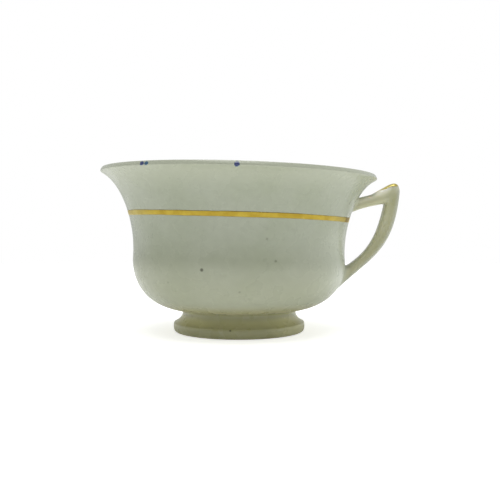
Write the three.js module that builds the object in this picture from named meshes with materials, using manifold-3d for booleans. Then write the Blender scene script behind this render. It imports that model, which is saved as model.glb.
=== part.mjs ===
// A porcelain teacup: a flared bowl luted to a turned foot ring and to a high, cornered handle,
// with a gilt line round the wall, a gilt stroke on the handle and dabs of blue enamel on the lip.
// Millimetres, +Z up. The cup stands on Z = 0 and its handle points to +X.
import * as THREE from 'three';
import { mergeVertices } from 'three/addons/utils/BufferGeometryUtils.js';
import Module from 'manifold-3d';

const wasm = await Module();
wasm.setup();
const { degToRad, lerp, smoothstep } = THREE.MathUtils;

// Bowl
const rimRadius = 52;
const cupHeight = 60.4;
const lipThickness = 1.8;
const lipPower = 4; // 2 is a round edge, more is squarer
const lipLean = degToRad(61.3); // the lip's angle from upright
const flarePull = 8.2; // how far the lip's slope carries down into the flare
const flareRise = 10.6; // how far the flare keeps upright above the waist
const waistRadius = 40.1;
const waistHeight = 31;
const bellyRadius = 40.27;
const bellyHeight = 26.3;
const bellyDrop = 8.6; // how far the belly keeps upright below its widest ring
const undersideRadius = 19.2;
const undersideHeight = 8.4;
const undersideRun = 14.1; // how far the flat underside carries out under the belly
const wallThickness = 2.2;
const floorThickness = 3;

// Foot ring
const neckRadius = 21.65;
const coveHold = 2.1; // how far the cove keeps upright below the neck
const coveRun = 0.95; // how far the shoulder's slope carries back into the cove
const shoulderHeight = 4.15; // where the cove turns over into the base bead
const shoulderSlope = degToRad(31.5); // below level
const footRadius = 25.05;
const beadOverhang = 1.1; // how far the bead stands out past its shoulder
const beadRun = 0.8; // how far the shoulder's slope carries on into the bead
const beadHeight = 2.75; // where the bead is widest
const beadHold = 1.1; // how far it keeps upright above that
const baseHold = 1.55; // and below that
const baseRounding = 1.8; // across, from the bead's side in to the flat
const footFlatWidth = 2.4;
const footInnerRounding = 0.8;
const footInnerTopRadius = 18.2;

// Handle, as seen from the side
const handleReach = 61.4; // from the cup's axis to the back of the handle
const thumbHeight = 57.8;
const thumbLength = 3.55; // rounded thumb corner, across
const thumbDrop = 2.45; // rounded thumb corner, down
const armDepth = 7.6; // from the thumb corner down to the finger gap
const gripDepth = 5.75; // from the back of the handle to the finger gap
const gapRounding = 0.7;
const upperRootHeight = 49.35;
const upperRootDepth = 5.6;
const lowerRootHeight = 19.8;
const lowerRootDepth = 10.4;

// Handle edges: where each curve's two guides lie, as shares of its way across and its way up
const armTopGuides = [0.616, 0.41, 0.286, 0.091];
const armUnderGuides = [0.48, 0.676, 0.638, 0.697];
const thumbGuides = [0.606, -0.347, 0.874, -0.129];
const gapGuides = [0.6, 0, 1, 0.4];
const gripBackGuides = [0.074, 0.526, 0.308, 0.579];
const gripFrontGuides = [0.182, 0.478, 0.373, 0.721];

// Handle widths and section
const upperRootWidth = 7;
const thumbWidth = 7.6;
const gripWidth = 5.8;
const lowerRootWidth = 7.2;
const thumbTaper = 0.4; // share of the grip over which the thumb narrows
const rootTaper = 0.6; // share of the grip at which the lower root starts to widen
const sectionPower = 3.4; // 2 is an ellipse, more is squarer

// Slip beds between the clay pieces
const slipThickness = 0.4;
const slipBead = 0.5; // how far the slip stands out round a handle root
const seam = 0.1; // clearance between neighbours

// Gilding and enamel
const bandHeight = 44;
const bandWidth = 1.8;
const giltThickness = 0.12;
const giltStart = 0.45; // share of the upper arm where the gilt stroke starts
const giltEnd = 0.6; // share of the thumb corner where it ends
const giltSides = 2; // section sides that the stroke covers to each side of the crest
const dabThickness = 0.15;
const dabTaper = 0.75; // how far a dab narrows at its ends
const dabs = [
  { azimuth: degToRad(-127.8), length: 1.5, low: degToRad(15), high: degToRad(100) },
  { azimuth: degToRad(-125.2), length: 1.1, low: degToRad(35), high: degToRad(110) },
  { azimuth: degToRad(-90.5), length: 1.6, low: degToRad(5), high: degToRad(105) },
];

// The handle's weight let the soft rim sink towards it in the kiln
const rimDroop = degToRad(1.68);
const droopTop = 34; // height above which the wall has its full droop

// Facets
const radialSegments = 60;
const bellySteps = 9;
const waistSteps = 2;
const flareSteps = 10;
const lipSteps = 6;
const coveSteps = 5;
const beadSteps = 3;
const roundingSteps = 2;
const armSteps = 9;
const thumbSteps = 6;
const gripSteps = 18;
const sectionSides = 16;
const dabSteps = 5;
const weldDistance = 1e-4;

const lipRadius = lipThickness / 2;
const rawLength = 2 * wallThickness; // how far raw ends run past the wall that trims them
const slopeAcross = Math.sin(lipLean);
const slopeUp = Math.cos(lipLean);
// How far the lip's squared edge spreads from its middle, out to the rim and up to the top alike
const lipDual = lipPower / (lipPower - 1);
const lipSpread = lipRadius * (slopeAcross ** lipDual + slopeUp ** lipDual) ** (1 / lipDual);
const lipEnd = at(
  rimRadius - lipSpread + lipRadius * slopeUp,
  cupHeight - lipSpread - lipRadius * slopeAcross,
);

function at(across, up) {
  return new THREE.Vector2(across, up);
}

function bend(from, to, [leaveAcross, leaveUp, arriveAcross, arriveUp]) {
  const leave = at(lerp(from.x, to.x, leaveAcross), lerp(from.y, to.y, leaveUp));
  const arrive = at(lerp(from.x, to.x, arriveAcross), lerp(from.y, to.y, arriveUp));
  return new THREE.CubicBezierCurve(from, leave, arrive, to);
}

// One coordinate of a squared circle: a power of 2 leaves it round
function squared(value, power) {
  return Math.sign(value) * Math.abs(value) ** (2 / power);
}

// Turns a shared-vertex mesh out of any geometry and drops the faces that collapse at the poles
function weld(geometry) {
  geometry.deleteAttribute('normal');
  geometry.deleteAttribute('uv');
  const welded = mergeVertices(geometry, weldDistance);
  const corners = welded.getIndex().array;
  const kept = [];
  for (let i = 0; i < corners.length; i += 3) {
    const [a, b, c] = corners.slice(i, i + 3);
    if (a !== b && b !== c && c !== a) kept.push(a, b, c);
  }
  welded.setIndex(kept);
  return welded;
}

function lathe(profile) {
  const turned = new THREE.LatheGeometry(profile, radialSegments);
  return weld(turned.rotateX(Math.PI / 2));
}

function fromPoints(points, corners) {
  const geometry = new THREE.BufferGeometry().setFromPoints(points);
  geometry.setIndex(corners);
  return weld(geometry);
}

// Joins closed rings of points into one body, with a fan over each end
function loft(rings) {
  const sides = rings[0].length;
  const points = rings.flat();
  const corners = [];
  for (let i = 0; i + 1 < rings.length; i += 1) {
    for (let j = 0; j < sides; j += 1) {
      const a = i * sides + j;
      const b = i * sides + ((j + 1) % sides);
      corners.push(a, b + sides, b, a, a + sides, b + sides);
    }
  }
  const last = (rings.length - 1) * sides;
  for (let j = 1; j + 1 < sides; j += 1) {
    corners.push(0, j, j + 1);
    corners.push(last, last + j + 1, last + j);
  }
  return fromPoints(points, corners);
}

// Closes the space between two grids of points, an underside and a face above it
function coat(under, face) {
  const rows = under.length;
  const columns = under[0].length;
  const points = [...under.flat(), ...face.flat()];
  const up = rows * columns;
  const corners = [];
  for (let i = 0; i + 1 < rows; i += 1) {
    for (let j = 0; j + 1 < columns; j += 1) {
      const a = i * columns + j;
      const c = a + columns;
      corners.push(a, a + 1, c + 1, a, c + 1, c);
      corners.push(up + a, up + c + 1, up + a + 1, up + a, up + c, up + c + 1);
    }
  }
  const close = (a, b) => corners.push(a, up + b, b, a, up + a, up + b);
  for (let j = 0; j + 1 < columns; j += 1) {
    close(j, j + 1);
    close((rows - 1) * columns + j + 1, (rows - 1) * columns + j);
  }
  for (let i = 0; i + 1 < rows; i += 1) {
    close((i + 1) * columns, i * columns);
    close(i * columns + columns - 1, (i + 1) * columns + columns - 1);
  }
  return fromPoints(points, corners);
}

function toSolid(geometry) {
  const vertProperties = new Float32Array(geometry.getAttribute('position').array);
  const triVerts = new Uint32Array(geometry.getIndex().array);
  return new wasm.Manifold(new wasm.Mesh({ numProp: 3, vertProperties, triVerts }));
}

function fromSolid(solid) {
  const { vertProperties, triVerts } = solid.getMesh();
  const geometry = new THREE.BufferGeometry();
  geometry.setAttribute('position', new THREE.BufferAttribute(vertProperties, 3));
  geometry.setIndex(new THREE.BufferAttribute(triVerts, 1));
  return geometry;
}

function droop(geometry) {
  const place = geometry.getAttribute('position');
  for (let i = 0; i < place.count; i += 1) {
    const share = smoothstep(place.getZ(i), undersideHeight, droopTop);
    place.setZ(i, place.getZ(i) - Math.tan(rimDroop) * place.getX(i) * share);
  }
  return geometry;
}

// The outside of the bowl from the underside to the lip, with the direction into the clay at each point
function traceWall() {
  const base = at(undersideRadius, undersideHeight);
  const belly = at(bellyRadius, bellyHeight);
  const waist = at(waistRadius, waistHeight);
  const middle = (bellyHeight + waistHeight) / 2;
  const bellyCurve = new THREE.CubicBezierCurve(
    base, at(base.x + undersideRun, base.y), at(belly.x, belly.y - bellyDrop), belly,
  );
  const waistCurve = new THREE.CubicBezierCurve(belly, at(belly.x, middle), at(waist.x, middle), waist);
  const lipGuide = at(lipEnd.x - flarePull * slopeAcross, lipEnd.y - flarePull * slopeUp);
  const flareCurve = new THREE.CubicBezierCurve(waist, at(waist.x, waist.y + flareRise), lipGuide, lipEnd);
  const stretches = [[bellyCurve, bellySteps], [waistCurve, waistSteps], [flareCurve, flareSteps]];
  const stations = [];
  for (const [curve, steps] of stretches) {
    const first = stations.length ? 1 : 0;
    for (let i = first; i <= steps; i += 1) {
      const along = curve.getTangent(i / steps);
      stations.push({ point: curve.getPoint(i / steps), inward: at(-along.y, along.x) });
    }
  }
  return stations;
}

const wall = traceWall();

function wallThicknessAt(height) {
  const low = lerp(floorThickness, wallThickness, smoothstep(height, undersideHeight, bellyHeight));
  return lerp(low, lipThickness, smoothstep(height, waistHeight, lipEnd.y));
}

// A station of the wall at a height, between the two turned rings above and below it
function wallAt(height) {
  const above = Math.max(1, wall.findIndex(({ point }) => point.y >= height));
  const [low, high] = [wall[above - 1], wall[above]];
  const share = (height - low.point.y) / (high.point.y - low.point.y);
  return {
    point: low.point.clone().lerp(high.point, share),
    inward: low.inward.clone().lerp(high.inward, share).normalize(),
  };
}

function grown({ point, inward }, distance) {
  return point.clone().addScaledVector(inward, -distance);
}

// The bowl's outside as a filled body, grown by a distance
function filledBowl(distance) {
  const skin = wall.map((station) => grown(station, distance));
  const top = skin[skin.length - 1];
  return toSolid(lathe([at(0, skin[0].y), ...skin, at(0, top.y)]));
}

// A point in the lip's section: the angle runs from the outside over the edge to the inside
function lipPoint(angle, distance) {
  const inward = at(-slopeUp, slopeAcross);
  const radius = lipRadius + distance;
  return at(lipEnd.x, lipEnd.y)
    .addScaledVector(inward, lipRadius - radius * squared(Math.cos(angle), lipPower))
    .add(at(slopeAcross, slopeUp).multiplyScalar(radius * squared(Math.sin(angle), lipPower)));
}

function makeBowl() {
  const outside = wall.map(({ point }) => point);
  const lip = [];
  for (let i = 1; i < lipSteps; i += 1) {
    lip.push(lipPoint((Math.PI * i) / lipSteps, 0));
  }
  const inside = wall.map((station) => grown(station, -wallThicknessAt(station.point.y)));
  const floor = at(0, undersideHeight + floorThickness);
  return lathe([at(0, undersideHeight), ...outside, ...lip, ...inside.reverse(), floor]);
}

function makeFootRing() {
  const seat = undersideHeight - slipThickness - 2 * seam;
  const neck = at(neckRadius, seat);
  const shoulder = at(footRadius - beadOverhang, shoulderHeight);
  const widest = at(footRadius, beadHeight);
  const flat = at(footRadius - baseRounding, 0);
  const slope = at(Math.cos(shoulderSlope), -Math.sin(shoulderSlope));
  const cove = new THREE.CubicBezierCurve(
    neck, at(neck.x, neck.y - coveHold), shoulder.clone().addScaledVector(slope, -coveRun), shoulder,
  );
  const beadTop = new THREE.CubicBezierCurve(
    shoulder, shoulder.clone().addScaledVector(slope, beadRun), at(widest.x, widest.y + beadHold), widest,
  );
  const beadBase = new THREE.CubicBezierCurve(
    widest, at(widest.x, widest.y - baseHold), at(footRadius, 0), flat,
  );
  const innerFlat = flat.x - footFlatWidth;
  const innerWall = innerFlat - footInnerRounding;
  const innerEdge = new THREE.QuadraticBezierCurve(
    at(innerFlat, 0), at(innerWall, 0), at(innerWall, footInnerRounding),
  );
  const outline = [
    ...cove.getPoints(coveSteps),
    ...beadTop.getPoints(beadSteps).slice(1),
    ...beadBase.getPoints(beadSteps).slice(1),
    ...innerEdge.getPoints(roundingSteps),
    at(footInnerTopRadius, seat),
    neck,
  ];
  return lathe(outline.reverse());
}

function makeFootSlip() {
  const low = undersideHeight - slipThickness - seam;
  const high = undersideHeight - seam;
  const inner = footInnerTopRadius;
  const start = at(inner, low);
  return lathe([start, at(neckRadius, low), at(neckRadius, high), at(inner, high), start]);
}

function makeGiltBand() {
  const stations = [-1, 0, 1].map((side) => wallAt(bandHeight + (side * bandWidth) / 2));
  const under = stations.map((station) => grown(station, seam));
  const face = stations.map((station) => grown(station, seam + giltThickness));
  return lathe([...face, ...under.reverse(), face[0]]);
}

// The handle's two edges, in three stretches: upper arm, thumb corner and grip
function handleStretches() {
  const upperTop = wallAt(upperRootHeight + upperRootDepth / 2).point;
  const upperUnder = wallAt(upperRootHeight - upperRootDepth / 2).point;
  const lowerTop = wallAt(lowerRootHeight + lowerRootDepth / 2).point;
  const lowerUnder = wallAt(lowerRootHeight - lowerRootDepth / 2).point;
  const thumbStart = at(handleReach - thumbLength, thumbHeight);
  const thumbEnd = at(handleReach, thumbHeight - thumbDrop);
  const gapCorner = at(handleReach - gripDepth, thumbHeight - armDepth);
  const gapStart = at(gapCorner.x - gapRounding, gapCorner.y);
  const gapEnd = at(gapCorner.x, gapCorner.y - gapRounding);
  const gripSpread = (share) => {
    const thumb = (thumbWidth - gripWidth) * (1 - smoothstep(share, 0, thumbTaper));
    return gripWidth + thumb + (lowerRootWidth - gripWidth) * smoothstep(share, rootTaper, 1);
  };
  return [
    {
      back: bend(upperTop, thumbStart, armTopGuides),
      front: bend(upperUnder, gapStart, armUnderGuides),
      width: (share) => lerp(upperRootWidth, thumbWidth, share),
      steps: armSteps,
    },
    {
      back: bend(thumbStart, thumbEnd, thumbGuides),
      front: bend(gapStart, gapEnd, gapGuides),
      width: () => thumbWidth,
      steps: thumbSteps,
    },
    {
      back: bend(thumbEnd, lowerUnder, gripBackGuides),
      front: bend(gapEnd, lowerTop, gripFrontGuides),
      width: gripSpread,
      steps: gripSteps,
    },
  ];
}

function handleStations() {
  const stations = [];
  handleStretches().forEach(({ back, front, width, steps }, stretch) => {
    for (let i = stretch ? 1 : 0; i <= steps; i += 1) {
      const share = i / steps;
      stations.push({ back: back.getPointAt(share), front: front.getPointAt(share), width: width(share) });
    }
  });
  return stations;
}

// A point of the handle's rounded section: side 0 is the crest on the handle's back
function sectionPoint({ back, front, width }, side, distance) {
  const angle = (2 * Math.PI * side) / sectionSides;
  const middle = back.clone().lerp(front, 0.5);
  const outward = back.clone().sub(front).normalize();
  const depth = back.distanceTo(front) / 2 + distance;
  middle.addScaledVector(outward, depth * squared(Math.cos(angle), sectionPower));
  const aside = (width / 2 + distance) * squared(Math.sin(angle), sectionPower);
  return new THREE.Vector3(middle.x, aside, middle.y);
}

function sectionRing(station, distance) {
  return Array.from({ length: sectionSides }, (_, side) => sectionPoint(station, side, distance));
}

function shifted(ring, across) {
  return ring.map((point) => point.clone().setX(point.x + across));
}

// The handle with a raw end pushed into the wall at each root, cut back to the slip beds
function makeHandle() {
  const rings = handleStations().map((station) => sectionRing(station, 0));
  rings.unshift(shifted(rings[0], -rawLength));
  rings.push(shifted(rings[rings.length - 1], -rawLength));
  return fromSolid(toSolid(loft(rings)).subtract(filledBowl(slipThickness + 2 * seam)));
}

// A bed of slip: a plug through the wall at a root, cut to the layer that lies on the wall
function slipBed(plug) {
  const layer = filledBowl(slipThickness + seam).subtract(filledBowl(seam));
  return fromSolid(toSolid(loft(plug)).intersect(layer));
}

function makeUpperSlip() {
  const root = sectionRing(handleStations().at(0), slipBead);
  return slipBed([shifted(root, -rawLength), shifted(root, rawLength)]);
}

function makeLowerSlip() {
  const root = sectionRing(handleStations().at(-1), slipBead);
  return slipBed([shifted(root, rawLength), shifted(root, -rawLength)]);
}

function makeHandleGilt() {
  const from = Math.round(armSteps * giltStart);
  const to = armSteps + Math.round(thumbSteps * giltEnd);
  const stroke = handleStations().slice(from, to + 1);
  const sides = Array.from({ length: 2 * giltSides + 1 }, (_, i) => i - giltSides);
  const layer = (distance) => stroke.map(
    (station) => sides.map((side) => sectionPoint(station, side, distance)),
  );
  return coat(layer(seam), layer(seam + giltThickness));
}

// A dab is a brush touch that narrows towards both ends
function makeDab({ azimuth, length, low, high }) {
  const layer = (distance) => {
    const rows = [];
    for (let i = 0; i <= dabSteps; i += 1) {
      const along = (2 * i) / dabSteps - 1;
      const turn = azimuth + (along * length) / 2 / rimRadius;
      const reach = Math.sqrt(1 - along * along * dabTaper) / 2;
      const row = [];
      for (let j = 0; j <= dabSteps; j += 1) {
        const share = 0.5 + reach * ((2 * j) / dabSteps - 1);
        const spot = lipPoint(lerp(low, high, share), distance);
        row.push(new THREE.Vector3(spot.x * Math.cos(turn), spot.x * Math.sin(turn), spot.y));
      }
      rows.push(row);
    }
    return rows;
  };
  return coat(layer(seam), layer(seam + dabThickness));
}

const porcelain = new THREE.MeshStandardMaterial({ color: 0xa9b09a, roughness: 0.22, metalness: 0 });
const footPorcelain = new THREE.MeshStandardMaterial({ color: 0x8d8c6c, roughness: 0.3, metalness: 0 });
const slip = new THREE.MeshStandardMaterial({ color: 0x9c9d80, roughness: 0.4, metalness: 0 });
const gilt = new THREE.MeshStandardMaterial({ color: 0xc8a63a, roughness: 0.3, metalness: 1 });
const enamel = new THREE.MeshStandardMaterial({ color: 0x2b3f8c, roughness: 0.25, metalness: 0 });

const cup = new THREE.Group();
// The middle of the cup and handle together stands over the origin
cup.position.x = (rimRadius - handleReach) / 2;

function addPiece(name, geometry, material) {
  const mesh = new THREE.Mesh(droop(geometry), material);
  mesh.name = name;
  cup.add(mesh);
}

addPiece('bowl', makeBowl(), porcelain);
addPiece('foot_ring', makeFootRing(), footPorcelain);
addPiece('foot_slip_joint', makeFootSlip(), slip);
addPiece('handle', makeHandle(), porcelain);
addPiece('handle_upper_slip_joint', makeUpperSlip(), slip);
addPiece('handle_lower_slip_joint', makeLowerSlip(), slip);
addPiece('gilt_band', makeGiltBand(), gilt);
addPiece('handle_gilt_line', makeHandleGilt(), gilt);
dabs.forEach((dab, i) => addPiece(`blue_rim_dab_${i + 1}`, makeDab(dab), enamel));

const teacup = new THREE.Group();
teacup.add(cup);

export default teacup;
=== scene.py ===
import math

import bpy
import numpy as np
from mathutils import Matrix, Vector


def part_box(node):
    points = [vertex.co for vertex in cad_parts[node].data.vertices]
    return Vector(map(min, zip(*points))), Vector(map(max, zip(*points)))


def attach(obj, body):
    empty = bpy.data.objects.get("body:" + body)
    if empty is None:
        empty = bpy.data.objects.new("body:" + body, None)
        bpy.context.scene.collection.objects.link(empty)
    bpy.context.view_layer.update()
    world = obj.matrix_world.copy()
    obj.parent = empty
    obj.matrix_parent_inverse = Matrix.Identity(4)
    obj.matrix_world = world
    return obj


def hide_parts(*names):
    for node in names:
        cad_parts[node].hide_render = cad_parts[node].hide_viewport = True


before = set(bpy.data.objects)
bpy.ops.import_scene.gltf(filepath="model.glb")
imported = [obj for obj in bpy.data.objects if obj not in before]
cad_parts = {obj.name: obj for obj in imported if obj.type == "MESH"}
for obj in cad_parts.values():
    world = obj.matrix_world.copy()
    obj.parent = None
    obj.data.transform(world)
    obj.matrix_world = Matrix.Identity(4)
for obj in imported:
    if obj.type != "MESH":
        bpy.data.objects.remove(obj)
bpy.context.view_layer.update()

mm = 0.001

# sizes that the frame gives: the axis of the cup, the rim and the reach of the handle
footLow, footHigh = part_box("foot_ring")
bowlLow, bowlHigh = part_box("bowl")
axisX = (footLow.x + footHigh.x) / 2
rimRadius = (bowlHigh.y - bowlLow.y) / 2
footRadius = (footHigh.y - footLow.y) / 2
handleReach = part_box("handle")[1].x - axisX

cup = {
    "height": 60.3 * mm,
    "lipRadius": 0.9 * mm,
    "lipPower": 4.0,  # 2 is a round edge, more is squarer
    "lipLean": math.radians(61.3),
    "flarePull": 8.2 * mm,
    "flareRise": 10.6 * mm,
    "waist": (40.1 * mm, 31.0 * mm),  # radius, height
    "belly": (40.27 * mm, 26.3 * mm),
    "bellyDrop": 8.6 * mm,
    "underside": (19.2 * mm, 8.4 * mm),
    "undersideRun": 14.85 * mm,
    "wall": 2.2 * mm,
    "floor": 3.0 * mm,
    "droop": math.tan(math.radians(1.68)),  # the rim sank towards the handle in the kiln
    "droopTop": 34.0 * mm,
    "segments": 240,
    "lipSteps": 29,
    "lipLightTurns": (18, 48, 130, 165),  # degrees over the lip between which its painted light comes and goes
    "pole": 0.5 * mm,  # radius of the last ring on its floor and underside
}


def smooth(value, low, high):
    # smoothstep: 0 below low, 1 above high, 3s^2 - 2s^3 between
    share = np.clip((np.asarray(value, float) - low) / (high - low), 0, 1)
    return share * share * (3 - 2 * share)


def between(value, a, b, c, d):
    # rises from 0 to 1 between a and b, and falls back to 0 between c and d
    return smooth(value, a, b) * (1 - smooth(value, c, d))


def cubic(t, a, b, c, d):
    # the place at t from a to d by guides b and c, in shares (1-t)^3, 3(1-t)^2 t, 3(1-t) t^2 and t^3
    return (1 - t) ** 3 * a + 3 * (1 - t) ** 2 * t * b + 3 * (1 - t) * t * t * c + t ** 3 * d


def bezier(points, count):
    # one cubic curve: its places and its unit directions at count even steps of t
    t = np.linspace(0, 1, count)[:, None]
    a, b, c, d = np.array(points, float)
    along = (1 - t) ** 2 * (b - a) + 2 * (1 - t) * t * (c - b) + t * t * (d - c)
    return cubic(t, a, b, c, d), along / np.linalg.norm(along, axis=1, keepdims=True)


def evenly(points, count):
    # the same line of points, spaced evenly by length along it
    steps = np.linalg.norm(np.diff(points, axis=0), axis=1)
    length = np.concatenate([[0], np.cumsum(steps)])
    marks = np.linspace(0, length[-1], count)
    return np.stack([np.interp(marks, length, points[:, k]) for k in range(points.shape[1])], 1)


def squared(value, power):
    # one coordinate of a squared circle: the sign of the value times its size to the power of 2/power
    return np.sign(value) * np.abs(value) ** (2 / power)


def sag(points):
    # each point sinks by droop times its distance towards the handle, eased in above the underside
    share = smooth(points[..., 2], cup["underside"][1], cup["droopTop"])
    sunk = points.copy()
    sunk[..., 2] -= cup["droop"] * (points[..., 0] - axisX) * share
    return sunk


def around(radius, angle, height):
    # cylinder coordinates about the axis of the cup, angle 0 at the front and growing towards the handle
    return np.stack([axisX + radius * np.sin(angle), -radius * np.cos(angle), height + 0 * angle], -1)


# the outside of the bowl in (radius, height), with the unit normal into the clay
lipSlope = np.array([math.sin(cup["lipLean"]), math.cos(cup["lipLean"])])
lipInward = np.array([-lipSlope[1], lipSlope[0]])
lipDual = cup["lipPower"] / (cup["lipPower"] - 1)
lipSpread = cup["lipRadius"] * np.sum(lipSlope ** lipDual) ** (1 / lipDual)
lipEnd = np.array([rimRadius, cup["height"]]) - lipSpread - cup["lipRadius"] * lipInward


def traceWall(count):
    # three cubic curves end to end: underside to belly, belly to waist, waist to lip
    base, belly, waist = (np.array(cup[k]) for k in ("underside", "belly", "waist"))
    middle = (belly[1] + waist[1]) / 2
    curves = [
        (base, base + [cup["undersideRun"], 0], belly - [0, cup["bellyDrop"]], belly),
        (belly, (belly[0], middle), (waist[0], middle), waist),
        (waist, waist + [0, cup["flareRise"]], lipEnd - cup["flarePull"] * lipSlope, lipEnd),
    ]
    traced = [bezier(curve, count) for curve in curves]
    place = np.concatenate([traced[0][0]] + [p[1:] for p, _ in traced[1:]])
    along = np.concatenate([traced[0][1]] + [a[1:] for _, a in traced[1:]])
    return place, np.stack([-along[:, 1], along[:, 0]], 1)


wallPlace, wallInward = traceWall(60)


def wallRadius(height):
    # the bowl's outside radius at a height, straight between the traced points
    return np.interp(height, wallPlace[:, 1], wallPlace[:, 0])


def wallNormal(height):
    # unit normal out of the clay, as (radial part, upward part)
    parts = [-np.interp(height, wallPlace[:, 1], wallInward[:, k]) for k in (0, 1)]
    return parts[0] / np.hypot(*parts), parts[1] / np.hypot(*parts)


def lipPoint(angle, lift):
    # squared section of the lip: the angle runs from the outside over the edge to the inside
    angle = np.asarray(angle)[..., None]
    reach = cup["lipRadius"] + np.asarray(lift)[..., None]
    inward = cup["lipRadius"] - reach * squared(np.cos(angle), cup["lipPower"])
    return lipEnd + lipInward * inward + lipSlope * reach * squared(np.sin(angle), cup["lipPower"])


def gridFaces(rows, columns, wrapRows=False, wrapColumns=False):
    # one quad for each cell of a grid, whose vertices are numbered row * columns + column
    i = np.arange(rows if wrapRows else rows - 1)[:, None]
    j = np.arange(columns if wrapColumns else columns - 1)[None, :]
    up, right = (i + 1) % rows, (j + 1) % columns
    corners = [i * columns + j, i * columns + right, up * columns + right, up * columns + j]
    return np.stack(np.broadcast_arrays(*corners), -1).reshape(-1, 4)


def poleFaces(ring, pole):
    # a fan of triangles from a closed ring of vertices to one pole
    return np.stack([ring, np.roll(ring, -1), np.full(len(ring), pole)], 1)


def cappedGrid(grid):
    # rows of closed rings, each end drawn together to a pole at the middle of its last ring
    rows, columns = grid.shape[:2]
    points = np.concatenate([grid.reshape(-1, 3), grid[:1].mean(1), grid[-1:].mean(1)])
    first, last = np.arange(columns), np.arange(columns) + (rows - 1) * columns
    quads = gridFaces(rows, columns, wrapColumns=True)
    fans = np.concatenate([poleFaces(first[::-1], rows * columns), poleFaces(last, rows * columns + 1)])
    return points, quads, fans


def turned(profile, segments):
    # a profile of (radius, height) carried once round the axis
    angle = np.arange(segments) * 2 * math.pi / segments
    return around(profile[:, :1], angle[None, :], profile[:, 1:])


def makePiece(name, points, quads, fans, node, slot, material, marks=None):
    # one closed mesh: faces are turned to point out by the sign of the volume that they close
    triangles = np.concatenate([quads[:, [0, 1, 2]], quads[:, [0, 2, 3]], fans])
    a, b, c = (points[triangles[:, k]] for k in range(3))
    inverted = np.einsum("ij,ij->i", a, np.cross(b, c)).sum() < 0
    faces = [f[:, ::-1] if inverted else f for f in (quads, fans)]
    mesh = bpy.data.meshes.new(name)
    mesh.from_pydata(points.tolist(), [], faces[0].tolist() + faces[1].tolist())
    mesh.polygons.foreach_set("use_smooth", np.ones(len(mesh.polygons), bool))
    for mark, values in (marks or {}).items():
        mesh.attributes.new(mark, "FLOAT", "POINT").data.foreach_set("value", values.astype(np.float32))
    mesh.materials.append(material)
    mesh.update()
    piece = bpy.data.objects.new(name, mesh)
    bpy.context.collection.objects.link(piece)
    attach(piece, "root")
    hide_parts(node)
    return piece


noFans = np.zeros((0, 3), int)


def shade(red, green, blue):
    # a colour as it looks, 0 to 255, made linear by the sRGB curve
    values = np.array([red, green, blue]) / 255
    linear = np.where(values <= 0.04045, values / 12.92, ((values + 0.055) / 1.055) ** 2.4)
    return (*linear.tolist(), 1.0)


class Wiring:
    # a short hand for placing nodes in one tree and joining them
    def __init__(self, tree):
        self.tree = tree

    def node(self, kind, settings=None, **inputs):
        # a new node of the kind, with its settings, and its inputs by name
        made = self.tree.nodes.new(kind)
        for key, value in (settings or {}).items():
            setattr(made, key, value)
        for key, value in inputs.items():
            self.feed(made, key.replace("_", " "), value)
        return made

    def feed(self, made, key, value):
        # one input by name or number: a socket is joined to it, anything else is its fixed value
        socket = made.inputs[int(key)] if key.isdigit() else made.inputs[key]
        if isinstance(value, bpy.types.NodeSocket):
            self.tree.links.new(value, socket)
        else:
            socket.default_value = value

    def math(self, operation, first, second=0.0):
        # one sum of two values
        made = self.node("ShaderNodeMath", {"operation": operation})
        self.feed(made, "0", first)
        self.feed(made, "1", second)
        return made.outputs[0]

    def ramp(self, value, low, high, toLow=0.0, toHigh=1.0):
        # smoothstep of the value between low and high, from toLow to toHigh
        made = self.node("ShaderNodeMapRange", {"interpolation_type": "SMOOTHSTEP"}, Value=value)
        for key, number in zip(("From Min", "From Max", "To Min", "To Max"), (low, high, toLow, toHigh)):
            made.inputs[key].default_value = number
        return made.outputs[0]

    def mix(self, factor, first, second, blend="MIX"):
        # first * (1 - factor) + second * factor for two colours, or another blend of them
        made = self.node("ShaderNodeMix", {"data_type": "RGBA", "blend_type": blend})
        for key, value in (("0", factor), ("6", first), ("7", second)):
            self.feed(made, key, value)
        return made.outputs[2]

    def mark(self, name):
        # a value that the mesh carries at each vertex
        return self.node("ShaderNodeAttribute", {"attribute_name": name}).outputs["Fac"]

    def place(self):
        # the point of the surface in the piece's own coordinates
        return self.node("ShaderNodeTexCoord").outputs["Object"]

    def noise(self, place, scale, detail=3.0, roughness=0.5):
        # fractal noise about 0.5, scale cells to the metre
        inputs = {"Vector": place, "Scale": scale, "Detail": detail, "Roughness": roughness}
        return self.node("ShaderNodeTexNoise", **inputs).outputs[0]


print("stage 1: glaze, gold and enamel")

glaze = {
    "broadScale": 55.0,  # soft clouds in the glaze, per metre
    "fineScale": 420.0,
    "grain": (0.975, 1.022),  # how far the fine grain shades it
    "pinScale": 160.0,  # faint pin specks
    "pinSize": (0.03, 0.1),
    "pinShare": (0.9, 0.97),  # only the cells above this have one
    "pinTint": shade(96, 92, 66),
    "rough": (0.22, 0.34),
    "peelScale": 260.0,  # orange peel
    "peelDepth": 0.03 * mm,
    "peelStrength": 0.14,
    "ior": 1.45,
    "clayWeight": 0.6,  # share of the light that wanders in the clay, where it is thick
    "clayRadius": (1.0, 0.9, 0.7),
}


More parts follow.
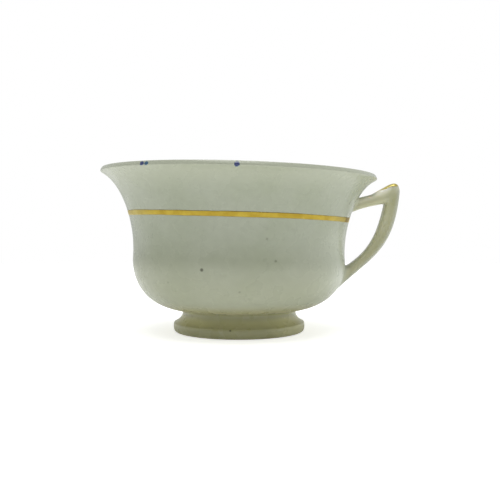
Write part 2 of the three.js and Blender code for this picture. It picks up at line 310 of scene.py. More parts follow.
def glazeGroup():
    # mottled glaze: clouds mix the thin and thick tints, fine grain shades it, pin specks darken it
    group = bpy.data.node_groups.new("mottledGlaze", "ShaderNodeTree")
    for name, kind in (("Thin", "Color"), ("Thick", "Color"), ("Specks", "Float")):
        group.interface.new_socket(name, in_out="INPUT", socket_type="NodeSocket" + kind)
    for name, kind in (("Colour", "Color"), ("Roughness", "Float"), ("Height", "Float")):
        group.interface.new_socket(name, in_out="OUTPUT", socket_type="NodeSocket" + kind)
    w = Wiring(group)
    inputs = w.node("NodeGroupInput").outputs
    place = w.place()
    clouds = w.ramp(w.noise(place, glaze["broadScale"], 4.0, 0.55), 0.3, 0.72)
    grain = w.noise(place, glaze["fineScale"], 2.0)
    tint = w.mix(clouds, inputs["Thin"], inputs["Thick"])
    grainTone = w.ramp(grain, 0.25, 0.75, *glaze["grain"])
    tone = w.node("ShaderNodeCombineColor", Red=grainTone, Green=grainTone, Blue=grainTone).outputs[0]
    tint = w.mix(1.0, tint, tone, "MULTIPLY")
    cells = w.node("ShaderNodeTexVoronoi", {"feature": "F1"}, Vector=place, Scale=glaze["pinScale"])
    pick = w.node("ShaderNodeSeparateColor", Color=cells.outputs["Color"]).outputs[0]
    dot = w.ramp(cells.outputs["Distance"], *glaze["pinSize"], 1.0, 0.0)
    pins = w.math("MULTIPLY", dot, w.ramp(pick, *glaze["pinShare"]))
    pins = w.math("MULTIPLY", pins, inputs["Specks"])
    tint = w.mix(pins, tint, glaze["pinTint"])
    rough = w.ramp(w.noise(place, glaze["broadScale"] * 3, 3.0), 0.3, 0.7, *glaze["rough"])
    peel = w.noise(place, glaze["peelScale"], 1.0)
    w.node("NodeGroupOutput", Colour=tint, Roughness=rough, Height=peel)
    return group


mottledGlaze = glazeGroup()


def newMaterial(name):
    # an empty material, its wiring, and the one shader of its surface
    material = bpy.data.materials.new(name)
    material.use_nodes = True
    wiring = Wiring(material.node_tree)
    return material, wiring, material.node_tree.nodes["Principled BSDF"]


def useGlaze(w, thin, thick, specks):
    # the shared glaze with a piece's own tints: colour, roughness and height over the surface
    made = w.node("ShaderNodeGroup", {"node_tree": mottledGlaze}, Thin=thin, Thick=thick, Specks=specks)
    return made.outputs["Colour"], made.outputs["Roughness"], made.outputs["Height"]


def finishGlaze(w, surface, colour, rough, height, depth=0.0):
    # a soft old glaze: colour and roughness vary, its gloss and how deep light wanders in the clay don't
    bump = w.node("ShaderNodeBump", Strength=glaze["peelStrength"], Distance=glaze["peelDepth"], Height=height)
    w.feed(surface, "Base Color", colour)
    w.feed(surface, "Roughness", rough)
    w.feed(surface, "Normal", bump.outputs[0])
    surface.inputs["IOR"].default_value = glaze["ior"]
    surface.inputs["Subsurface Weight"].default_value = glaze["clayWeight"] if depth else 0.0
    surface.inputs["Subsurface Radius"].default_value = glaze["clayRadius"]
    surface.inputs["Subsurface Scale"].default_value = depth


def speckled(w, place, colour, specks, radiusAt):
    # small fired-in specks on a turned surface: each fades from its strength at its middle to 0 at its radius
    mask = 0.0
    for degrees, rise, radius, strength in specks:
        spot = sag(around(radiusAt(rise * mm), np.array(math.radians(degrees)), rise * mm))
        away = w.node("ShaderNodeVectorMath", {"operation": "DISTANCE"})
        w.feed(away, "0", place)
        w.feed(away, "1", spot.tolist())
        fade = w.ramp(away.outputs["Value"], radius * mm * 0.35, radius * mm, strength, 0.0)
        mask = w.math("MAXIMUM", mask, fade)
    return w.mix(mask, colour, bodyTint["speck"])


bodyTint = {
    "thin": shade(164, 169, 151),
    "thick": shade(157, 163, 142),
    "flare": shade(172, 176, 156),  # painted light: paler towards the rim, where the flare faces down to the bright table
    "flareFrom": (51.0 * mm, 58.0 * mm),
    "lip": shade(169, 173, 154),  # painted light: paler over the edge of the lip
    "pale": shade(180, 185, 166),  # painted light: paler beside the handle
    "litSideTurn": (66, 17),  # degrees from the front, and how far to each side
    "litSideLevels": (15, 22, 36, 44),  # heights in mm between which it comes and goes
    "pooled": shade(178, 173, 133),  # painted shade: olive in the angle above the foot, under the bowl
    "underShadeFrom": (8.4, 13.5),
    "underShadeShare": 0.9,
    "shadeTraceFrom": (18.0, 38.0),  # with a trace of that painted shade up to the waist
    "shadeTraceShare": 0.14,
    "speck": shade(66, 68, 50),
}
bodySpecks = [  # degrees from the front; height and radius in mm; strength
    (-17.9, 25.2, 0.8, 0.85),
    (13.1, 36.0, 0.6, 0.35),
    (17.5, 28.7, 0.65, 0.45),
    (0.2, 18.1, 0.55, 0.35),
    (-38.0, 20.5, 0.5, 0.3),
]


def bodyMaterial():
    # the wall's glaze, with painted light towards the rim by height, and painted shade above the foot and
    # painted light on the lip and by the handle, by marks
    material, w, surface = newMaterial("bodyGlaze")
    colour, rough, height = useGlaze(w, bodyTint["thin"], bodyTint["thick"], 0.5)
    place = w.place()
    level = w.node("ShaderNodeSeparateXYZ", Vector=place).outputs["Z"]
    # painted light: paler towards the rim by height
    colour = w.mix(w.ramp(level, *bodyTint["flareFrom"], 0.0, 0.6), colour, bodyTint["flare"])
    # painted shade above the foot, painted light on the lip and beside the handle
    for mark in ("pooled", "lip", "pale"):
        colour = w.mix(w.mark(mark), colour, bodyTint[mark])
    colour = speckled(w, place, colour, bodySpecks, wallRadius)
    finishGlaze(w, surface, colour, rough, height)
    return material


footTint = {
    "thin": shade(169, 168, 131),
    "thick": shade(157, 156, 119),
    "cove": shade(198, 196, 152),  # painted light: paler in the hollow above the bead
    "litCoveFrom": (3.2 * mm, 4.4 * mm),
    "litCoveTo": (5.2 * mm, 7.4 * mm),
    "litSidesFrom": (6.0 * mm, 21.0 * mm),  # painted light: paler round the sides, most towards the handle
    "litSidesGain": (0.75, 1.4),
    "bare": shade(186, 176, 150),  # the ring that stood on the kiln shelf is wiped free of glaze
    "bareFrom": (0.2 * mm, 0.4 * mm),
    "bareRagged": 0.25 * mm,
    "clayDepth": 3.0 * mm,  # how far light wanders in it
}
footSpecks = [(-7.2, 3.4, 0.6, 0.7)]


def footMaterial():
    # olive glaze with painted light in the cove by height and round the sides, with a speck, and bare clay on
    # the ring that it stands on
    material, w, surface = newMaterial("footGlaze")
    colour, rough, height = useGlaze(w, footTint["thin"], footTint["thick"], 0.8)
    place = w.place()
    level = w.node("ShaderNodeSeparateXYZ", Vector=place).outputs["Z"]
    across = w.math("SUBTRACT", w.node("ShaderNodeSeparateXYZ", Vector=place).outputs["X"], axisX)
    # painted light: paler in the cove and round the sides, most towards the handle
    sideLight = w.ramp(w.math("ABSOLUTE", across), *footTint["litSidesFrom"], *footTint["litSidesGain"])
    rising, falling = w.ramp(level, *footTint["litCoveFrom"]), w.ramp(level, *footTint["litCoveTo"], 0.9, 0.35)
    hollow = w.math("MULTIPLY", w.math("MULTIPLY", rising, falling), sideLight)
    pale = w.math("MAXIMUM", hollow, w.ramp(across, *footTint["litSidesFrom"], 0.0, 0.6))
    colour = w.mix(pale, colour, footTint["cove"])
    colour = speckled(w, place, colour, footSpecks, lambda rise: footRadius)
    ragged = w.math("ADD", level, w.math("MULTIPLY", w.noise(place, 500.0), footTint["bareRagged"]))
    bare = w.ramp(ragged, *footTint["bareFrom"], 1.0, 0.0)
    colour = w.mix(bare, colour, footTint["bare"])
    rough = w.math("MAXIMUM", rough, w.math("MULTIPLY", bare, 0.75))
    finishGlaze(w, surface, colour, rough, height, footTint["clayDepth"])
    return material


handleTint = {
    "thin": shade(178, 177, 145),
    "thick": shade(170, 170, 134),
    "back": shade(167, 169, 151),  # painted reflection: greyer along the outside of the handle
    "pale": shade(218, 217, 193),  # painted light: on the arm, and along the side of the gap
    "ghost": shade(228, 224, 208),  # painted highlight: on the top of the arm beside the gold
    "clayDepth": 3.0 * mm,
}


def handleTone(w, colour):
    # greyer along its back as painted reflection, paler towards the gap and on the arm as painted light, by two
    # marks
    colour = w.mix(w.ramp(w.mark("outer"), 0.1, 0.8), colour, handleTint["back"])
    return w.mix(w.mark("pale"), colour, handleTint["pale"])


def handleMaterial():
    # the handle's own glaze, toned along and across it with painted light and reflection, and with a painted
    # highlight by the gold
    material, w, surface = newMaterial("handleGlaze")
    colour, rough, height = useGlaze(w, handleTint["thin"], handleTint["thick"], 0.6)
    # painted highlight on the top of the arm beside the gold
    colour = w.mix(w.mark("ghost"), handleTone(w, colour), handleTint["ghost"])
    finishGlaze(w, surface, colour, rough, height, handleTint["clayDepth"])
    return material


def slipMaterial():
    # runs from the handle's tone, with its painted light and reflection, to the body's, by the mark that grows
    # across the fillet
    material, w, surface = newMaterial("slipGlaze")
    colour, rough, height = useGlaze(w, handleTint["thin"], handleTint["thick"], 0.6)
    body, _, _ = useGlaze(w, bodyTint["thin"], bodyTint["thick"], 0.5)
    colour = w.mix(w.mark("towardsWall"), handleTone(w, colour), body)
    finishGlaze(w, surface, colour, rough, height)
    return material


gold = {
    "bright": shade(178, 156, 62),
    "deep": shade(163, 137, 46),
    "upperEdge": shade(132, 108, 66),
    "lowerEdge": shade(150, 132, 84),
    "rubbed": shade(208, 200, 126),
    "edge": shade(250, 244, 222),  # what it mirrors at a slant stays golden
    "lap": shade(124, 98, 26),  # where one stroke of the brush lies over another
}


def goldMaterial():
    # fired gold: streaks in tone, thin at its edges, dark where strokes lap, rubbed through in patches
    material, w, surface = newMaterial("wornGold")
    place = w.place()
    across, lap, worn = map(w.mark, ("across", "lap", "worn"))
    streak = w.ramp(w.noise(place, 220.0, 4.0, 0.6), 0.3, 0.7)
    tone = w.mix(streak, gold["deep"], gold["bright"])
    upper, lower = w.ramp(across, 0.65, 1.0), w.ramp(across, -1.0, -0.75, 1.0, 0.0)
    tone = w.mix(w.math("MULTIPLY", upper, 0.8), tone, gold["upperEdge"])
    tone = w.mix(w.math("MULTIPLY", lower, 0.6), tone, gold["lowerEdge"])
    tone = w.mix(lap, tone, gold["lap"])
    edge = w.math("MULTIPLY", w.math("MAXIMUM", upper, lower), 0.1)
    patch = w.ramp(w.math("ADD", w.noise(place, 900.0, 4.0, 0.7), edge), 0.66, 0.74)
    bare = w.math("MAXIMUM", w.math("MULTIPLY", patch, 0.6), worn)
    tone = w.mix(bare, tone, gold["rubbed"])
    w.feed(surface, "Base Color", tone)
    w.feed(surface, "Metallic", w.ramp(bare, 0.0, 1.0, 0.8, 0.0))
    w.feed(surface, "Roughness", w.ramp(streak, 0.0, 1.0, 0.42, 0.3))
    bump = w.node("ShaderNodeBump", Strength=0.3, Distance=0.00004, Height=w.noise(place, 700.0, 2.0))
    w.feed(surface, "Normal", bump.outputs[0])
    surface.inputs["Specular Tint"].default_value = gold["edge"]
    return material


enamel = {"navy": shade(46, 56, 104), "teal": shade(48, 84, 112), "pale": shade(126, 150, 164)}


def enamelMaterial(name, tint):
    # a dab of blue enamel, thick and dark in the middle and washed out to its edge and tail
    material, w, surface = newMaterial(name)
    place = w.place()
    ragged = w.math("ADD", w.mark("faded"), w.math("MULTIPLY", w.noise(place, 1500.0, 3.0), 0.3))
    tone = w.mix(w.ramp(ragged, 0.9, 1.35), enamel[tint], enamel["pale"])
    w.feed(surface, "Base Color", tone)
    w.feed(surface, "Roughness", w.ramp(ragged, 0.2, 1.2, 0.16, 0.3))
    surface.inputs["IOR"].default_value = 1.55
    return material


bodyGlaze = bodyMaterial()
footGlaze = footMaterial()
handleGlaze = handleMaterial()
slipGlaze = slipMaterial()
wornGold = goldMaterial()

print("stage 2: bowl and foot")


def bowlProfile():
    # the outside up to the lip, the squared lip, the inside one wall thickness within, and the lip's mark of
    # painted light
    height = wallPlace[:, 1]
    low = cup["underside"][1]
    thick = cup["floor"] + (cup["wall"] - cup["floor"]) * smooth(height, low, cup["belly"][1])
    thick += (2 * cup["lipRadius"] - thick) * smooth(height, cup["waist"][1], lipEnd[1])
    inside = wallPlace + wallInward * thick[:, None]
    turn = np.linspace(0, math.pi, cup["lipSteps"])[1:-1]
    lip = lipPoint(turn, 0 * turn)
    start, end = [[cup["pole"], low]], [[cup["pole"], low + cup["floor"]]]
    rows = np.concatenate([start, wallPlace, lip, inside[::-1], end])
    unmarked = np.zeros(len(wallPlace) + 1)
    return rows, np.concatenate([unmarked, between(turn, *np.radians(cup["lipLightTurns"])), unmarked])


bowlRows, bowlLipLight = bowlProfile()
bowlGrid = sag(turned(bowlRows, cup["segments"]))
bowlTurn = np.arange(cup["segments"]) * 360 / cup["segments"]
bowlLevel = bowlRows[:, 1:] / mm
bowlOutside = (np.arange(len(bowlRows)) <= len(wallPlace))[:, None]
# painted light beside the handle, by turn and height
litSideMiddle, litSideSpread = bodyTint["litSideTurn"]
bowlLitSide = np.exp(-((bowlTurn - litSideMiddle) / litSideSpread) ** 2) * between(bowlLevel, *bodyTint["litSideLevels"])
# painted shade under the bowl, fading out up to the waist
pooled, shadeTrace = bodyTint["underShadeShare"], bodyTint["shadeTraceShare"]
bowlUnderShade = pooled - (pooled - shadeTrace) * smooth(bowlLevel, *bodyTint["underShadeFrom"]) + 0 * bowlTurn
bowlUnderShade -= shadeTrace * smooth(bowlLevel, *bodyTint["shadeTraceFrom"])
bowlMarks = {  # with the values of the two poles added, underside and floor
    "lip": np.append(np.repeat(bowlLipLight, cup["segments"]), [0.0, 0.0]),
    "pale": np.append(bowlOutside * bowlLitSide, [0.0, 0.0]),
    "pooled": np.append(bowlOutside * bowlUnderShade, [pooled, 0.0]),
}
makePiece("bowl", *cappedGrid(bowlGrid), "bowl", "glazed_porcelain", bodyGlaze, bowlMarks)

foot = {
    "neck": 21.65 * mm,
    "coveHold": 2.1 * mm,  # how far the cove keeps upright below the neck
    "coveRun": 0.95 * mm,
    "shoulder": 4.15 * mm,  # height at which the cove turns over into the bead
    "shoulderSlope": math.radians(31.5),
    "overhang": 1.1 * mm,  # how far the bead stands out past its shoulder
    "beadRun": 0.8 * mm,
    "bead": 2.75 * mm,  # height at which it is widest
    "beadHold": 1.1 * mm,
    "baseHold": 1.55 * mm,
    "baseRounding": 1.8 * mm,
    "flat": 2.4 * mm,  # width of the ring that it stands on
    "innerRounding": 0.8 * mm,
    "innerTop": 18.2 * mm,
    "slip": 0.4 * mm,
    "seam": 0.1 * mm,
    "slipReach": 0.7 * mm,  # how far its fillet runs down the foot, and out under the bowl
    "slipSpread": 0.9 * mm,
    "slipHold": 0.6,  # how long it keeps to their lines
    "slipUnder": (0.4 * mm, 0.06 * mm),  # how far its edges run on, and how deep, under both surfaces
    "slipDeep": 0.4 * mm,
    "counts": (24, 16, 18, 10),  # points along cove, bead, base and inner edge
}


def footProfile(seat):
    # a closed outline in (radius, height) of cubic curves: cove, bead above and below its widest, inner edge
    slope = np.array([math.cos(foot["shoulderSlope"]), -math.sin(foot["shoulderSlope"])])
    neck = np.array([foot["neck"], seat])
    shoulder = np.array([footRadius - foot["overhang"], foot["shoulder"]])
    widest = np.array([footRadius, foot["bead"]])
    flat = footRadius - foot["baseRounding"]
    inner = flat - foot["flat"]
    wall = inner - foot["innerRounding"]
    curves = [
        (neck, neck - [0, foot["coveHold"]], shoulder - foot["coveRun"] * slope, shoulder),
        (shoulder, shoulder + foot["beadRun"] * slope, widest + [0, foot["beadHold"]], widest),
        (widest, widest - [0, foot["baseHold"]], (footRadius, 0), (flat, 0)),
        ((inner, 0), (inner, 0), (wall, 0), (wall, foot["innerRounding"])),
    ]
    traced = [bezier(curve, count)[0] for curve, count in zip(curves, foot["counts"])]
    joined = [traced[0], traced[1][1:], traced[2][1:], traced[3], [[foot["innerTop"], seat]]]
    return np.concatenate(joined)


def ringPiece(name, grid, *rest):
    # a grid that closes on itself both ways, along its rows and along its columns
    quads = gridFaces(*grid.shape[:2], True, True)
    makePiece(name, grid.reshape(-1, 3), quads, noFans, name, *rest)


undersideZ = cup["underside"][1]
footSeat = undersideZ - foot["slip"] - 2 * foot["seam"]
ringPiece("foot_ring", turned(footProfile(footSeat), cup["segments"]), "foot_porcelain", footGlaze)


def footSlipProfile():
    # a thin bed whose outside is a cubic that leaves the foot and joins the bowl along their own lines
    cove = footProfile(footSeat)[:foot["counts"][0]][::-1]
    base = wallPlace[:len(wallPlace) // 3]
    hold, (onward, sunk), step = foot["slipHold"], foot["slipUnder"], 0.1 * mm

    def onFoot(height):
        # the point (radius, height) of the foot's cove at a height
        return np.array([np.interp(height, cove[:, 1], cove[:, 0]), height])

    def onBase(radius):
        # the point (radius, height) of the bowl's underside at a radius
        return np.array([radius, np.interp(radius, base[:, 0], base[:, 1])])

    low, wide = footSeat - foot["slipReach"], foot["neck"] + foot["slipSpread"]
    start, end = onFoot(low), onBase(wide)
    across, up = end - start
    leave, join = (onFoot(low + step) - start) / step, (onBase(wide + step) - end) / step
    fillet, _ = bezier([start, start + leave * hold * up, end - join * hold * across, end], 16)
    first, last = onFoot(low - onward) - [sunk, 0], onBase(wide + onward) + [0, sunk]
    inner, deep = foot["innerTop"], foot["neck"] - foot["slipDeep"]
    back = [[deep, undersideZ + 0.2 * mm], [inner, undersideZ + 0.05 * mm], [inner, footSeat]]
    return np.concatenate([[first], fillet, [last], back, [[deep, footSeat - 0.2 * mm]]])


ringPiece("foot_slip_joint", turned(footSlipProfile(), cup["segments"]), "slip", footGlaze)

print("stage 3: handle")

handle = {
    "thumbHeight": 57.8 * mm,
    "thumbLength": 3.55 * mm,
    "thumbDrop": 2.45 * mm,
    "armDepth": 7.6 * mm,
    "gripDepth": 5.75 * mm,
    "gapRounding": 0.7 * mm,
    "upperRoot": (52.15 * mm, 46.55 * mm),  # heights of its top and underside on the wall
    "lowerRoot": (25.0 * mm, 14.6 * mm),
    "widths": (7.0 * mm, 7.6 * mm, 5.8 * mm, 7.2 * mm),  # upper root, thumb, grip, lower root
    "power": 3.4,  # 2 is an ellipse, more is squarer
    "sink": (1.2 * mm, 0.4 * mm),  # how deep its raw ends lie in the wall, upper and lower
    "sides": 64,
    "counts": (48, 26, 110),  # stations along arm, thumb and grip
    "armHighlightReach": (43.5 * mm, 48.5 * mm, 55.5 * mm, 58.0 * mm),  # from the axis, where it comes and goes
    "armHighlightShare": 0.9,
    "armEnds": (40, 58, 76),  # stations over which the painted light of the arm goes over into the grip's
    # guides of each edge, as shares of its way across and its way up
    "armTop": (0.616, 0.41, 0.286, 0.091),
    "armUnder": (0.48, 0.676, 0.638, 0.697),
    "thumb": (0.606, -0.347, 0.874, -0.129),
    "gap": (0.6, 0.0, 1.0, 0.4),
    "gripBack": (0.074, 0.526, 0.308, 0.579),
    "gripFront": (0.182, 0.478, 0.373, 0.721),
}


def edgeCurve(start, end, guides, count):
    # a cubic from start to end, its guides set as shares of the way across and up, spaced evenly
    start, end = np.array(start), np.array(end)
    span = end - start
    middle = [start + span * guides[:2], start + span * guides[2:]]
    return evenly(bezier([start, *middle, end], 400)[0], count)


def onWall(height):
    # the point (radius, height) on the outside of the bowl at a height
    return (float(wallRadius(height)), height)


def handleEdges():
    # back and front edges of the handle seen from the side, and its width, from upper root to lower root
    thumbStart = (handleReach - handle["thumbLength"], handle["thumbHeight"])
    thumbEnd = (handleReach, handle["thumbHeight"] - handle["thumbDrop"])
    corner = np.array([handleReach - handle["gripDepth"], handle["thumbHeight"] - handle["armDepth"]])
    gapStart, gapEnd = corner - [handle["gapRounding"], 0], corner - [0, handle["gapRounding"]]
    upTop, upUnder = map(onWall, handle["upperRoot"])
    lowTop, lowUnder = map(onWall, handle["lowerRoot"])
    counts = handle["counts"]
    back = [
        edgeCurve(upTop, thumbStart, handle["armTop"], counts[0]),
        edgeCurve(thumbStart, thumbEnd, handle["thumb"], counts[1])[1:],
        edgeCurve(thumbEnd, lowUnder, handle["gripBack"], counts[2])[1:],
    ]
    front = [
        edgeCurve(upUnder, gapStart, handle["armUnder"], counts[0]),
        edgeCurve(gapStart, gapEnd, handle["gap"], counts[1])[1:],
        edgeCurve(gapEnd, lowTop, handle["gripFront"], counts[2])[1:],
    ]
    root, thumb, grip, low = handle["widths"]
    arm = np.linspace(root, thumb, counts[0])
    share = np.linspace(0, 1, counts[2])[1:]
    taper = grip + (thumb - grip) * (1 - smooth(share, 0, 0.4)) + (low - grip) * smooth(share, 0.6, 1)
    width = np.concatenate([arm, np.full(counts[1] - 1, thumb), taper])
    return np.concatenate(back), np.concatenate(front), width


def eased(line, passes=6):
    # running mean of three with weights 1, 2, 1, ends kept
    for _ in range(passes):
        line = np.concatenate([line[:1], (line[:-2] + 2 * line[1:-1] + line[2:]) / 4, line[-1:]])
    return line


handleBack, handleFront, handleWidth = (eased(line) for line in handleEdges())


def handleSurface(station, angle, lift):
    # superellipse between the two edges: depth h|cos|^(2/p), width w|sin|^(2/p), angle 0 the crest on the back
    mark = np.arange(len(handleWidth))
    back = np.stack([np.interp(station, mark, handleBack[:, k]) for k in (0, 1)], -1)
    front = np.stack([np.interp(station, mark, handleFront[:, k]) for k in (0, 1)], -1)
    half = (back - front) / 2
    depth = np.linalg.norm(half, axis=-1)
    cos, sin = np.cos(angle), np.sin(angle)
    inDepth = squared(cos, handle["power"]) * (depth + lift)
    inWidth = squared(sin, handle["power"]) * (np.interp(station, mark, handleWidth) / 2 + lift)
    middle = (back + front) / 2 + half / depth[..., None] * inDepth[..., None]
    return np.stack([axisX + middle[..., 0], inWidth, middle[..., 1]], -1)


lastStation = len(handleWidth) - 1
sectionAngle = np.arange(handle["sides"]) * 2 * math.pi / handle["sides"]
handleGrid = handleSurface(np.arange(lastStation + 1.0)[:, None], sectionAngle[None, :], np.zeros((1, 1)))
sunkEnds = [end - [deep, 0, 0] for end, deep in zip((handleGrid[:1], handleGrid[-1:]), handle["sink"])]
rawHandle = np.concatenate([sunkEnds[0], handleGrid, sunkEnds[1]])


def paintedLightShare(outer, onArm):
    # painted light: the arm is paler above than below, and the grip paler towards the gap than on its back
    upper = 0.35 + 0.6 * smooth(outer, -0.4, 0.6)
    gap = 0.6 - 0.6 * smooth(outer, -1.1, 0.0)
    return onArm * upper + (1 - onArm) * gap


def handleMarks():
    # outer is the share of the depth towards the back, then the painted light as above, and a painted highlight
    # on the arm's top before the corner
    reach = rawHandle[..., 0] - axisX
    outer = squared(np.cos(sectionAngle), handle["power"]) + 0 * reach
    rows = np.arange(len(rawHandle))[:, None]
    first, middle, last = handle["armEnds"]
    onTop = smooth(outer, 0.0, 0.6) * (rows < middle + 2)
    ghost = between(reach, *handle["armHighlightReach"]) * onTop * handle["armHighlightShare"]
    pale = paintedLightShare(outer, 1 - 0.6 * smooth(rows, first, middle) - 0.4 * smooth(rows, middle, last))
    marks = {"outer": outer, "ghost": ghost, "pale": pale}
    return {name: np.append(mark, [0, 0]) for name, mark in marks.items()}


makePiece("handle", *cappedGrid(sag(rawHandle)), "handle", "handle_porcelain", handleGlaze, handleMarks())

fillet = {
    "upper": (1.0 * mm, 0.9 * mm),  # how far it runs along the handle and along the wall
    "lower": (2.3 * mm, 2.2 * mm),
    "hold": 0.6,  # how long it keeps to the line of the handle and of the wall
    "under": (0.6 * mm, 0.08 * mm),  # how far its edges run on, and how deep, under both surfaces
    "steps": 14,
    "depth": 0.5 * mm,
}


def offWall(points):
    # distance of points from the outside of the bowl along its normal, near enough close to the wall
    radius = np.hypot(points[..., 0] - axisX, points[..., 1])
    out, _ = wallNormal(points[..., 2])
    return (radius - wallRadius(points[..., 2])) * out


def crossing(away, level, fromEnd):
    # along each column of distances, the station at which the distance last passes the level near a root
    rows = np.arange(away.shape[0])[::-1] if fromEnd else np.arange(away.shape[0])
    ordered = away[rows]
    first = np.argmax(ordered > level, axis=0)
    column = np.arange(away.shape[1])
    before = np.maximum(first - 1, 0)
    low, high = ordered[before, column], ordered[first, column]
    share = np.where(first > 0, (level - low) / np.where(high == low, 1, high - low), 0)
    return rows[before] + share * (rows[first] - rows[before])


def wallFrame(points):
    # the point of the wall at the same height and turn about the axis, and the wall's unit normal there
    turn = np.arctan2(points[:, 1], points[:, 0] - axisX)
    radius = wallRadius(points[:, 2])
    out, up = wallNormal(points[:, 2])
    place = np.stack([axisX + radius * np.cos(turn), radius * np.sin(turn), points[:, 2]], 1)
    return place, np.stack([out * np.cos(turn), out * np.sin(turn), up], 1)


def flattened(vectors, normals):
    # the part of each vector that lies across its normal, made one long
    flat = vectors - normals * np.einsum("ij,ij->i", vectors, normals)[:, None]
    return flat / np.linalg.norm(flat, axis=1, keepdims=True)


def slipFillet(name, fromEnd, reach, spread):
    # a hollow ring round a root: a cubic that leaves the handle and joins the wall along their own lines
    away = offWall(handleGrid)
    none = np.zeros(handle["sides"])
    hold, (onward, deep) = fillet["hold"], fillet["under"]

    def onHandle(level, lift=0.0):
        # the ring of the handle's surface that stands off the wall by the level
        return handleSurface(crossing(away, level, fromEnd), sectionAngle, none + lift)

    start, before = onHandle(reach), onHandle(reach + onward, -deep)
    meet, normal = wallFrame(onHandle(0.02 * mm))
    outward = flattened(meet - meet.mean(0), normal)
    end, endNormal = wallFrame(meet + outward * spread)
    beyond, beyondNormal = wallFrame(meet + outward * (spread + onward))
    leave = onHandle(reach * 0.8) - start
    lengths = [np.linalg.norm(line, axis=1, keepdims=True) for line in (meet - start, leave)]
    guides = start + leave * hold * lengths[0] / lengths[1], end - flattened(outward, endNormal) * hold * spread
    curve = cubic(np.linspace(0, 1, fillet["steps"])[:, None, None], start, *guides, end)
    inside = meet - (normal + outward) * fillet["depth"]
    grid = np.concatenate([before[None], curve, (beyond - beyondNormal * deep)[None], inside[None]])
    share = np.concatenate([[0], smooth(np.linspace(0, 1, fillet["steps"]), 0, 1), [1, 0.5]])[:, None]
    outer = squared(np.cos(sectionAngle), handle["power"]) + 0 * share
    # painted light, as on the handle
    pale = paintedLightShare(outer, 0.0 if fromEnd else 1.0)
    marks = {"towardsWall": (share + 0 * outer).ravel(), "outer": outer.ravel(), "pale": pale.ravel()}
    ringPiece(name, sag(grid), "slip", slipGlaze, marks)


slipFillet("handle_upper_slip_joint", False, *fillet["upper"])
slipFillet("handle_lower_slip_joint", True, *fillet["lower"])

print("stage 4: gilding and enamel")

band = {
    "height": 43.85 * mm,
    "half": 0.9 * mm,
    "drift": 0.05 * mm,  # how far its edges wander, as waves of (count, phase)
    "upperWaves": ((5, 0.4), (13, 1.9), (31, 4.0)),
    "lowerWaves": ((4, 2.2), (11, 0.3), (37, 5.1)),
    "dip": 0.35 * mm,  # it drops where the brush came round under the handle
    "low": 69.5,  # degrees from the front, where it is lowest
    "lowSpread": 30,
    "lift": 0.05 * mm,
    "sunk": 0.04 * mm,
    "lap": (65.2, 67.6, 73, 76),  # where it came round over its start, between these angles
    "worn": (73, 76, 98, 101),  # rubbed thin by the finger in the handle, between these angles
    "thin": (40, 62),  # and thinner on both sides than in front
    "shares": (0.75, 0.6, 0.3),  # of lap, worn and thin
    "segments": 480,
    "across": 9,
}


def wander(angle, size, waves):
    # a hand's small drift: three sines of set count and phase, summed
    parts = [np.sin(count * angle + phase) / (k + 1) for k, (count, phase) in enumerate(waves)]
    return size * sum(parts)


def giltBand():
    # a low crowned line round the wall, its edges drifting a little, closed underneath
    angle = (np.arange(band["segments"]) * 2 * math.pi / band["segments"])[None, :]
    side = np.linspace(-1, 1, band["across"])[:, None]
    upper, lower = (wander(angle, band["drift"], band[k]) for k in ("upperWaves", "lowerWaves"))
    edge = np.where(side > 0, band["half"] + upper, band["half"] + lower)
    dip = band["dip"] * np.exp(-((np.degrees(angle) - band["low"]) / band["lowSpread"]) ** 2)
    height = band["height"] - dip + side * edge
    out, up = wallNormal(height)
    layers = []
    for lift in (band["lift"] * (1 - 0.8 * side ** 4) + 0 * angle, -band["sunk"] + 0 * height):
        layers.append(around(wallRadius(height) + out * lift, angle + 0 * height, height + up * lift))
    grid = np.concatenate([layers[0], layers[1][::-1]])
    across = np.concatenate([side, side[::-1]]) + 0 * angle
    degrees = np.degrees(angle) + 0 * across
    lap, worn = (between(degrees, *band[k]) for k in ("lap", "worn"))
    thin = smooth(np.minimum(degrees, 360 - degrees), *band["thin"]) * (1 - lap)
    lapShare, wornShare, thinShare = band["shares"]
    worn = np.maximum(wornShare * worn, thinShare * thin)
    marks = {"across": across.ravel(), "lap": lapShare * lap.ravel(), "worn": worn.ravel()}
    ringPiece("gilt_band", sag(grid), "gilding", wornGold, marks)


giltBand()

stroke = {
    "stations": (21.0, 64.0),  # from and to, along the handle
    "half": math.radians(57),  # how far it reaches down each side of the crest
    "start": 0.12,  # share of that width at its start
    "fullFrom": 0.55,  # share of its length at which it is full
    "endFrom": 0.85,  # and from which it narrows again, by this share
    "endLoss": 0.55,
    "waves": ((3, 0.2), (7, 1.1), (12, 3.0)),
    "lapFrom": (0.77, 0.89),  # it lies thick past the corner
    "lapShare": 0.6,
    "worn": (0.6, 0.45),  # and is rubbed most at its start
    "wornFrom": (0.1, 0.5),
    "lift": 0.05 * mm,
    "sunk": 0.05 * mm,
    "steps": 70,
    "across": 13,
}


